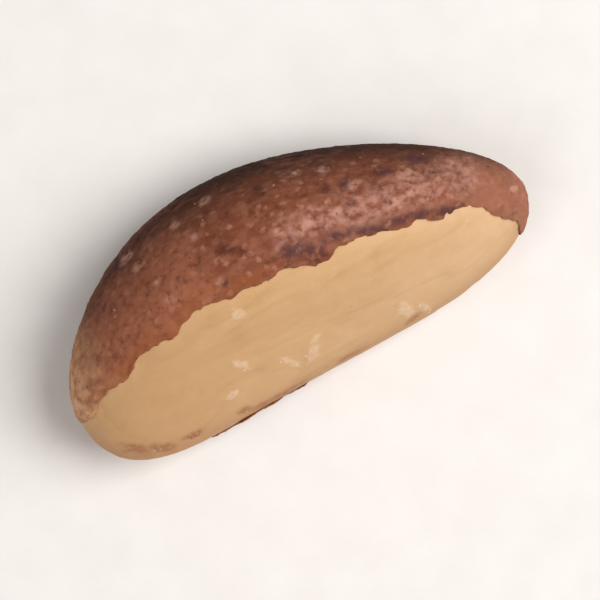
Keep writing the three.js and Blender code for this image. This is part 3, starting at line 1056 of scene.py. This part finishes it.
def place_group(tree, group, **values):
    """A shader group with its own values in a material."""
    inputs = {key.replace("_", " "): value for key, value in values.items()}
    return add_node(tree, "ShaderNodeGroup", inputs, node_tree=group).outputs


def mark_mask(tree, name):
    """A mark stored on the mesh, as a number for a material."""
    return add_node(tree, "ShaderNodeAttribute", attribute_name=name).outputs["Fac"]


def broken_mark(tree, name, noise, low, high):
    """A mark stored on the mesh, broken up by a noise."""
    return product(tree, mark_mask(tree, name), ramp(tree, noise, low, high))


def layered(tree, colour, *layers):
    """A colour with others laid over it in turn, each given by strength, mask and screen colour."""
    for strength, mask, above in layers:
        colour = blend(tree, product(tree, mask, strength), colour, srgb(*above))
    return colour


print("screen grey 128 as linear light:", round(srgb(128, 128, 128)[0], 3))

# %% [markdown]
# Roughness and bump
#
# Neither surface is evenly dull. Their sheen changes a little with the tone of their blotches, and some
# places are duller still: the scuffs on the flesh, and the back of the coat.


# %% Helpers for roughness and bump
def add_roughness(tree, shader, tone, smooth, rough, worn, more):
    """Roughness that follows the mottle's tone, with more of it where a mask says so."""
    plain = ramp(tree, tone, 0.3, 0.7, smooth, rough)
    tree.links.new(calc(tree, "ADD", plain, product(tree, worn, more)), shader.inputs["Roughness"])


def add_bump(tree, shader, height, distance, strength):
    """Fine relief that is only shaded, under a shader."""
    inputs = {"Height": height, "Distance": distance, "Strength": strength}
    tree.links.new(add_node(tree, "ShaderNodeBump", inputs).outputs[0], shader.inputs["Normal"])


print("groups that the materials place:", [group.name for group in (MOTTLE, FINE_BUMP)])

# %% [markdown]
# The kernel's finish
#
# Fresh kernel is cream, a little translucent and waxy. It is warmer and darker where the flank rounds
# under at the inner edge, partly with brown left by the coat and partly with painted shade. Painted shade
# also makes it warmer and darker towards the blunt tip, and painted light lightens it towards the other
# tip and along the torn edge. The relief has painted shade in its hollows and a painted highlight on its
# rises. Scuffs are pale and chalky, and the stained places are brown. A little light passes into the
# flesh, which softens its shading.


# %% The kernel's material
def kernel_material():
    """Waxy cream with faint streaks, brown stains, chalky scuffs, and painted light and shade."""
    material, tree, shader = new_material(
        "kernel_flesh", IOR=1.45, Specular_IOR_Level=0.35, Subsurface_Weight=0.15,
        Subsurface_Scale=0.0009, Subsurface_Radius=(1.0, 0.5, 0.25),
    )
    mottle = place_group(
        tree, MOTTLE, Base=srgb(204, 164, 118), Dark=srgb(190, 147, 99), Light=srgb(214, 177, 134),
        Fleck=srgb(221, 189, 149), Blotch_Size=5.0, Blotch_Amount=0.5, Streak_Width=1.3,
        Streak_Stretch=9.0, Streak_Amount=0.28, Fleck_Spacing=1.9, Fleck_Amount=0.15,
    )
    bump = place_group(
        tree, FINE_BUMP, Grain_Size=0.22, Wrinkle_Width=0.3, Wrinkle_Share=0.6,
        Speck_Spacing=2.6, Speck_Size=0.07,
    )
    along = part_of(tree, tree.nodes.new("ShaderNodeTexCoord").outputs["Object"], "X")
    rough = noise_in(tree, place_in(tree, 0.45), 4.0)
    fibres = noise_in(tree, place_in(tree, 0.4, 1.5), 4.0)
    relief = mark_mask(tree, "relief")
    ragged = about_zero(tree, fibres, 1.6)
    scuff = ramp(tree, calc(tree, "ADD", mark_mask(tree, "scuff"), ragged), 0.2, 1.4)

    colour = layered(
        tree, mottle["Color"],
        # Painted shade: warmer and darker towards the blunt tip. Painted light: lighter towards the other
        # tip.
        (0.6, ramp(tree, along, 3 * MM, -15 * MM), (190, 146, 101)),
        (0.5, ramp(tree, along, 3 * MM, 17 * MM), (219, 182, 144)),
        # Darker where the flank rounds under: partly brown left by the coat, partly painted shade.
        (0.55, mark_mask(tree, "low"), (172, 120, 76)),
        # Painted light on the flank just outside the torn edge, where it turns up to the crest.
        (0.3, mark_mask(tree, "edge_near"), (218, 176, 130)),
        (0.12, mark_mask(tree, "veins"), (178, 130, 86)),
        # Painted shade in the hollows of the relief, and a painted highlight on its rises.
        (0.35, ramp(tree, relief, 0.0, -0.9), (188, 142, 96)),
        (0.3, ramp(tree, relief, 0.1, 0.7), (224, 192, 152)),
        (0.75, broken_mark(tree, "stain", rough, 0.15, 0.58), (152, 96, 58)),
        (0.4, bump["Specks"], (160, 106, 66)),
        (0.5, scuff, (232, 204, 178)),
    )
    tree.links.new(colour, shader.inputs["Base Color"])
    add_roughness(tree, shader, mottle["Tone"], 0.44, 0.56, scuff, 0.3)
    height = calc(tree, "ADD", bump["Height"], product(tree, scuff, rough, 3.0))
    add_bump(tree, shader, height, 0.03 * MM, 0.5)
    return material


KERNEL_FLESH = kernel_material()
print("material", KERNEL_FLESH.name, len(KERNEL_FLESH.node_tree.nodes), "nodes")

# %% [markdown]
# The coat's finish
#
# Dry seed coat is reddish brown and mottled. It is purple and nearly black where it is bruised along the
# middle of the torn edge, with a painted pinkish sheen beside that, a highlight along the crest. The torn
# edge is thin and orange nearer the blunt tip, where the rim is tan, partly its own colour and partly
# painted light, and the tip at the other end is lighter. Down the back it is darkened with painted shade,
# and the relief has painted shade in its hollows and a painted highlight on its rises. The gloss is soft
# and broad, broken up by fine wrinkles.


# %% The coat's material
def coat_material():
    """Mottled reddish brown with bruises, a painted sheen, pale patches, a tan rim and painted shade."""
    material, tree, shader = new_material(
        "seed_coat", IOR=1.45, Specular_IOR_Level=0.16, Specular_Tint=(1.0, 0.8, 0.7, 1.0),
    )
    mottle = place_group(
        tree, MOTTLE, Base=srgb(128, 72, 50), Dark=srgb(80, 43, 35), Light=srgb(156, 99, 76),
        Fleck=srgb(180, 128, 108), Blotch_Size=2.0, Blotch_Amount=0.75, Streak_Width=0.75,
        Streak_Stretch=1.5, Streak_Amount=0.6, Fleck_Spacing=0.95, Fleck_Amount=0.65,
    )
    bump = place_group(
        tree, FINE_BUMP, Grain_Size=0.17, Wrinkle_Width=0.16, Wrinkle_Share=0.5,
        Speck_Spacing=0.8, Speck_Size=0.16,
    )
    patchy = noise_in(tree, place_in(tree, 1.1, 1.8), 4.0)
    broken = noise_in(tree, place_in(tree, 0.55, 1.1), 3.0)
    relief, away = mark_mask(tree, "relief"), mark_mask(tree, "away")

    colour = layered(
        tree, mottle["Color"],
        (0.45, mark_mask(tree, "tip"), (170, 114, 90)),
        # Painted shade on the back of the coat, which faces away from the main lamp.
        (0.88, away, (34, 17, 13)),
        (0.12, mark_mask(tree, "veins"), (160, 100, 74)),
        # Painted shade in the hollows of the relief, and a painted highlight on its rises.
        (0.6, ramp(tree, relief, -0.1, -1.0), (58, 30, 27)),
        (0.25, ramp(tree, relief, 0.1, 0.9), (162, 110, 90)),
        (0.6, broken_mark(tree, "warm", broken, 0.25, 0.6), (169, 105, 78)),
        (0.7, broken_mark(tree, "glow", patchy, 0.3, 0.55), (146, 84, 50)),
        # The tan rim: partly the coat's own tan where it thins, partly painted light on a side turned
        # from the main lamp.
        (0.95, broken_mark(tree, "rim", patchy, 0.25, 0.7), (222, 172, 128)),
        # Painted highlight: the pinkish sheen along the crest.
        (0.66, broken_mark(tree, "sheen", broken, 0.3, 0.7), (192, 141, 128)),
        (0.8, broken_mark(tree, "bruise", broken, 0.32, 0.54), (72, 41, 46)),
        (0.6, broken_mark(tree, "pale", broken, 0.3, 0.62), (198, 149, 130)),
        (0.7, bump["Specks"], (58, 32, 28)),
    )
    tree.links.new(colour, shader.inputs["Base Color"])
    add_roughness(tree, shader, mottle["Tone"], 0.46, 0.64, away, 0.35)
    add_bump(tree, shader, bump["Height"], 0.05 * MM, 0.7)
    return material


SEED_COAT = coat_material()
print("material", SEED_COAT.name, len(SEED_COAT.node_tree.nodes), "nodes")

# %% [markdown]
# Scurf and crumbs
#
# The coat sheds papery scales, and a scraped kernel sheds chalky crumbs. They are the same kind of thing
# in different sizes, so one tree scatters them all. It starts with points on the marked places. They
# gather in patches, keep their distance from one another, and stay clear of the floor.

# %% Points on the marked places
PATCH_SIZE = 1.3 * MM
PATCH_FADE = (0.4, 0.62)
CLEAR_OF_FLOOR = 0.6 * MM


def spread_points(tree, at, place):
    """Points on the places that a mark names, gathered in patches and clear of the floor."""
    patches = noise_in(tree, vector_calc(tree, "SCALE", place, 1 / PATCH_SIZE), 2.0, EVEN_NOISE)
    chance = product(tree, stored_mark(tree, at["Mark"]), ramp(tree, patches, *PATCH_FADE))
    high = calc(tree, "GREATER_THAN", part_of(tree, place, "Z"), CLEAR_OF_FLOOR)
    return add_node(tree, "GeometryNodeDistributePointsOnFaces", {
        "Mesh": at["Geometry"], "Distance Min": at["Spacing"], "Seed": at["Seed"],
        "Density Max": calc(tree, "DIVIDE", 1.0, product(tree, at["Spacing"], at["Spacing"])),
        "Density Factor": product(tree, chance, high, at["Amount"]),
    }, distribute_method="POISSON").outputs


print("patches, mm across:", PATCH_SIZE / MM)

# %% [markdown]
# A bead on each point
#
# A scale or a crumb starts as a ball of a few dozen faces, flattened and lying on the surface. Each one
# is turned about its own upright and stretched by its own random numbers. It carries a random shade too,
# so that its material can give every bead another tone.

# %% Beads with sizes and shades of their own
BEAD = {"Segments": 9, "Rings": 5, "Radius": 1.0}
BEAD_WIDTH = (0.35, 1.0)
BEAD_LENGTH = (0.6, 1.8)
FULL_TURN = (0.0, 0.0, 2 * math.pi)


def random_number(tree, span, seed):
    """A random number within a span, for each bead."""
    inputs = {"Min": span[0], "Max": span[1], "Seed": seed}
    return add_node(tree, "FunctionNodeRandomValue", inputs, data_type="FLOAT").outputs[1]


def beads_on(tree, at, spread):
    """A flattened bead on each point, turned, sized and shaded by its own random numbers."""
    bead = add_node(tree, "GeometryNodeMeshUVSphere", BEAD).outputs["Mesh"]
    inputs = {"Max": FULL_TURN, "Seed": 1}
    turn = add_node(tree, "FunctionNodeRandomValue", inputs, data_type="FLOAT_VECTOR").outputs[0]
    inputs = {0: spread["Rotation"], 1: turn}
    turned = add_node(tree, "FunctionNodeRotateRotation", inputs, rotation_space="LOCAL").outputs[0]
    width, length = random_number(tree, BEAD_WIDTH, 2), random_number(tree, BEAD_LENGTH, 3)
    size = add_node(tree, "ShaderNodeCombineXYZ", {
        "X": product(tree, width, length, at["Size"]),
        "Y": product(tree, width, at["Size"]),
        "Z": product(tree, at["Size"], at["Flatness"]),
    }).outputs[0]
    inputs = {"Points": spread["Points"], "Instance": bead, "Rotation": turned, "Scale": size}
    beads = add_node(tree, "GeometryNodeInstanceOnPoints", inputs).outputs[0]
    inputs = {"Geometry": beads, "Name": "shade", "Value": random_number(tree, (0.0, 1.0), 4)}
    kind = "GeometryNodeStoreNamedAttribute"
    return add_node(tree, kind, inputs, data_type="FLOAT", domain="INSTANCE").outputs[0]


print("a bead is a ball of", BEAD["Segments"], "by", BEAD["Rings"], "faces")

# %% [markdown]
# One tree for scales and crumbs
#
# The beads become real meshes, and noise then pushes their points about, so that no two have the same
# outline. The amount, the size and the mark to follow are inputs, and each kind of bit gives its own.


# %% The scatter tree
def scatter_tree():
    """Ragged, flattened beads of many sizes on the places that a mark names."""
    sizes = numbers(Spacing=0.4 * MM, Amount=0.5, Size=0.1 * MM, Flatness=0.2, Raggedness=0.5)
    inputs = {
        "Geometry": (GEOMETRY, None), **sizes, "Mark": (WORD, ""), "Seed": (WHOLE, 0),
        "Material": (MATERIAL, None),
    }
    tree, at, out = new_group("GeometryNodeTree", "scatter", inputs, GEOMETRY_OUT)
    place = tree.nodes.new("GeometryNodeInputPosition").outputs[0]
    beads = beads_on(tree, at, spread_points(tree, at, place))
    real = add_node(tree, "GeometryNodeRealizeInstances", {"Geometry": beads}).outputs[0]
    ragged = noise_in(tree, counted_in(tree, place, at["Size"]), 1.0, EVEN_NOISE, "Color")
    push = vector_calc(tree, "SUBTRACT", ragged, (0.5, 0.5, 0.5))
    push = vector_calc(tree, "SCALE", push, product(tree, at["Size"], at["Raggedness"]))
    uneven = add_node(tree, "GeometryNodeSetPosition", {"Geometry": real, "Offset": push})
    end_tree(tree, uneven.outputs[0], at["Material"], out)
    return tree


SCATTER_TREE = scatter_tree()
print("scatter tree:", len(SCATTER_TREE.nodes), "nodes")

# %% [markdown]
# The finish of scales and crumbs
#
# Scales are dry coat, chalky crumbs are scraped flesh, and the crumbs in the stained places are in
# between. None of them shines. One function makes all three materials, because they differ only in
# their two colours, and each bead takes a tone between the two by its own shade.


# %% The scales' and crumbs' materials
def loose_material(name, dark, light, roughness):
    """A dry, chalky finish between two colours, by each bead's own shade."""
    material, tree, shader = new_material(name, Roughness=roughness, Specular_IOR_Level=0.3)
    grain = noise_in(tree, place_in(tree, 0.12), 2.0)
    shade = calc(tree, "ADD", mark_mask(tree, "shade"), about_zero(tree, grain, 0.6))
    colour = blend(tree, ramp(tree, shade, 0.0, 1.0), srgb(*dark), srgb(*light))
    tree.links.new(colour, shader.inputs["Base Color"])
    add_bump(tree, shader, grain, 0.02 * MM, 0.6)
    return material


SCURF = loose_material("scurf_scales", (126, 80, 62), (174, 124, 102), 0.7)
CHALK = loose_material("chalky_crumbs", (214, 174, 130), (238, 218, 194), 0.8)
HUSK = loose_material("husk_crumbs", (146, 96, 62), (200, 154, 110), 0.8)
print("materials", SCURF.name, CHALK.name, HUSK.name)

# %% [markdown]
# Making the kernel and the coat
#
# Each tree runs once on its base mesh, and the result becomes a plain mesh. The coat's grains and
# wrinkles are deeper than the kernel's, because skin shrinks as it dries and flesh doesn't. Both pieces
# of coat are the same skin, so they share one set of sizes.

# %% The kernel and both pieces of coat
KERNEL_SIZES = {
    "Grain Size": 1.6 * MM, "Grain Height": 0.05 * MM, "Wrinkle Width": 1.1 * MM, "Wrinkle Stretch": 7.0,
    "Wrinkle Height": 0.04 * MM, "Pit Spacing": 2.9 * MM, "Pit Depth": 0.03 * MM,
    "Vein Spacing": 5.0 * MM, "Vein Stretch": 4.0, "Vein Height": -0.018 * MM,
    "Scuff Height": 0.07 * MM, "Scuff Size": 0.3 * MM, "Material": KERNEL_FLESH,
}
COAT_SIZES = {
    "Grain Size": 0.7 * MM, "Grain Height": 0.07 * MM, "Wrinkle Width": 0.55 * MM, "Wrinkle Stretch": 4.0,
    "Wrinkle Height": 0.07 * MM, "Pit Spacing": 1.1 * MM, "Pit Depth": 0.07 * MM,
    "Vein Spacing": 3.2 * MM, "Vein Stretch": 3.0, "Vein Height": 0.035 * MM,
    "Thickness": 0.22 * MM, "Edge Thickness": 0.1 * MM, "Edge Width": 0.9,
    "Lift": 0.12 * MM, "Lift Width": 0.6, "Lift Spacing": 1.5 * MM, "Material": SEED_COAT,
}
kernel_flesh = run_tree(kernel_base, KERNEL_TREE, KERNEL_SIZES, "kernel_flesh")
seed_coat = run_tree(coat_base, COAT_TREE, COAT_SIZES, "seed_coat")
coat_scrap = run_tree(scrap_base, COAT_TREE, COAT_SIZES, "coat_scrap_skin")

# %% [markdown]
# Scattering scales and crumbs
#
# The scatter tree runs on the finished skin and flesh, so that every bead sits on the real relief. Scales
# are wide and thin and lie mostly along the band of painted sheen. Crumbs are smaller and rounder. The
# base meshes have done their work by then, and are cleared away.

# %% Scales on the coat, and crumbs on the flank
scurf = run_tree(seed_coat, SCATTER_TREE, {
    "Spacing": 0.4 * MM, "Amount": 0.6, "Size": 0.16 * MM, "Flatness": 0.14, "Raggedness": 1.1,
    "Mark": "scurfy", "Seed": 3, "Material": SCURF,
}, "scurf_scales")
chalk = run_tree(kernel_flesh, SCATTER_TREE, {
    "Spacing": 0.22 * MM, "Amount": 0.5, "Size": 0.11 * MM, "Flatness": 0.35, "Raggedness": 0.9,
    "Mark": "scuff", "Seed": 5, "Material": CHALK,
}, "chalky_crumbs")
husk = run_tree(kernel_flesh, SCATTER_TREE, {
    "Spacing": 0.24 * MM, "Amount": 0.4, "Size": 0.14 * MM, "Flatness": 0.3, "Raggedness": 0.9,
    "Mark": "stain", "Seed": 7, "Material": HUSK,
}, "husk_crumbs")
for base in (kernel_base, coat_base, scrap_base):
    bpy.data.meshes.remove(base.data)

# %% [markdown]
# The floor
#
# The kernel lies on plain pale paper. A large plane with a faint, fine grain stands for it. It is only
# there for the picture and isn't part of the nut.

# %% The floor
FLOOR_HALF = 0.6
PAPER_GRAIN = 260.0
bpy.ops.mesh.primitive_plane_add(size=2 * FLOOR_HALF, location=(0, 0, 0))
floor = bpy.context.object
floor.name = "floor"
paper, paper_tree, paper_shader = new_material("pale_paper", Roughness=0.9, Specular_IOR_Level=0.2)
paper_place = paper_tree.nodes.new("ShaderNodeTexCoord").outputs["Object"]
paper_noise = add_node(paper_tree, "ShaderNodeTexNoise", {
    "Vector": paper_place, "Scale": PAPER_GRAIN, "Detail": 5.0,
}).outputs["Fac"]
paper_tone = blend(paper_tree, paper_noise, srgb(232, 228, 225), srgb(243, 240, 238))
paper_tree.links.new(paper_tone, paper_shader.inputs["Base Color"])
floor.data.materials.append(paper)
print("floor, m across:", 2 * FLOOR_HALF)

# %% [markdown]
# The light
#
# The shadows in the photograph are soft and fall to the left, so the main light is a large one on the
# right. A weaker one from the other side and a dim, even room keep the shaded side readable. The lights
# are placed by the picture's own directions, which are turned against the kernel's.

# %% The lights and the world
PICTURE_TURN = math.radians(-28.68)
PICTURE_RIGHT = Vector((math.cos(PICTURE_TURN), math.sin(PICTURE_TURN), 0))
PICTURE_UP = Vector((-math.sin(PICTURE_TURN), math.cos(PICTURE_TURN), 0))
MIDDLE_HEIGHT = 0.007
ROOM_COLOUR = (1.0, 0.97, 0.94, 1.0)
ROOM_STRENGTH = 0.24


def add_softbox(name, right, up, height, size, power, colour):
    """A square area light placed by the picture's own directions, aimed at the kernel."""
    lamp = bpy.data.lights.new(name, "AREA")
    lamp.size = size
    lamp.energy = power
    lamp.color = colour
    thing = bpy.data.objects.new(name, lamp)
    thing.location = PICTURE_RIGHT * right + PICTURE_UP * up + Vector((0, 0, height))
    to_kernel = Vector((0, 0, MIDDLE_HEIGHT)) - thing.location
    thing.rotation_euler = to_kernel.to_track_quat("-Z", "Y").to_euler()
    bpy.context.scene.collection.objects.link(thing)


add_softbox("window", 0.34, 0.06, 0.42, 0.40, 3.1, (1.0, 0.985, 0.965))
add_softbox("fill", -0.24, -0.22, 0.42, 0.40, 0.8, (1.0, 0.96, 0.92))

world = bpy.data.worlds.new("room")
bpy.context.scene.world = world
world.use_nodes = True
room = world.node_tree.nodes["Background"].inputs
room["Color"].default_value = ROOM_COLOUR
room["Strength"].default_value = ROOM_STRENGTH
print("lights, W:", {lamp.name: round(lamp.energy, 1) for lamp in bpy.data.lights})

# %% [markdown]
# The camera
#
# The camera looks straight down, turned so that the kernel rises to the right as it does in the
# photograph, and close enough for the kernel to fill most of the frame. A long lens from 24 cm above
# keeps perspective weak: the kernel's top is drawn about 6 % larger than the paper.

# %% The camera
VIEW_WIDTH = 0.0473
LOOK_AT = (0.0, -0.00275)
LENS = 180.0
SENSOR = 36.0
camera_data = bpy.data.cameras.new("camera")
camera_data.lens = LENS
camera_data.sensor_width = SENSOR
camera_data.clip_start = 0.01
camera = bpy.data.objects.new("camera", camera_data)
camera.location = (*LOOK_AT, MIDDLE_HEIGHT + VIEW_WIDTH * LENS / SENSOR)
camera.rotation_euler = (0, 0, PICTURE_TURN)
bpy.context.scene.collection.objects.link(camera)
bpy.context.scene.camera = camera
bpy.context.scene.view_settings.view_transform = "Standard"
print("camera height, m:", round(camera.location.z, 3))

# %% [markdown]
# Handing the pieces over
#
# Nothing on a nut moves by itself, so every piece rides on the one body. The fine kernel stands for the
# packed kernel, and each piece of coat stands for its own node. Scales and crumbs stand for no node.

# %% Bodies, nodes and slots
PIECES = {
    kernel_flesh: ("kernel", "kernel"),
    seed_coat: ("coat", "coat_back"),
    coat_scrap: ("coat", "coat_scrap"),
    scurf: ("coat", None),
    chalk: ("kernel", None),
    husk: ("coat", None),
}
for piece, (slot, node) in PIECES.items():
    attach(piece, "root")
    if node:
        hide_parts(node)
print("pieces handed over:", [piece.name for piece in PIECES])
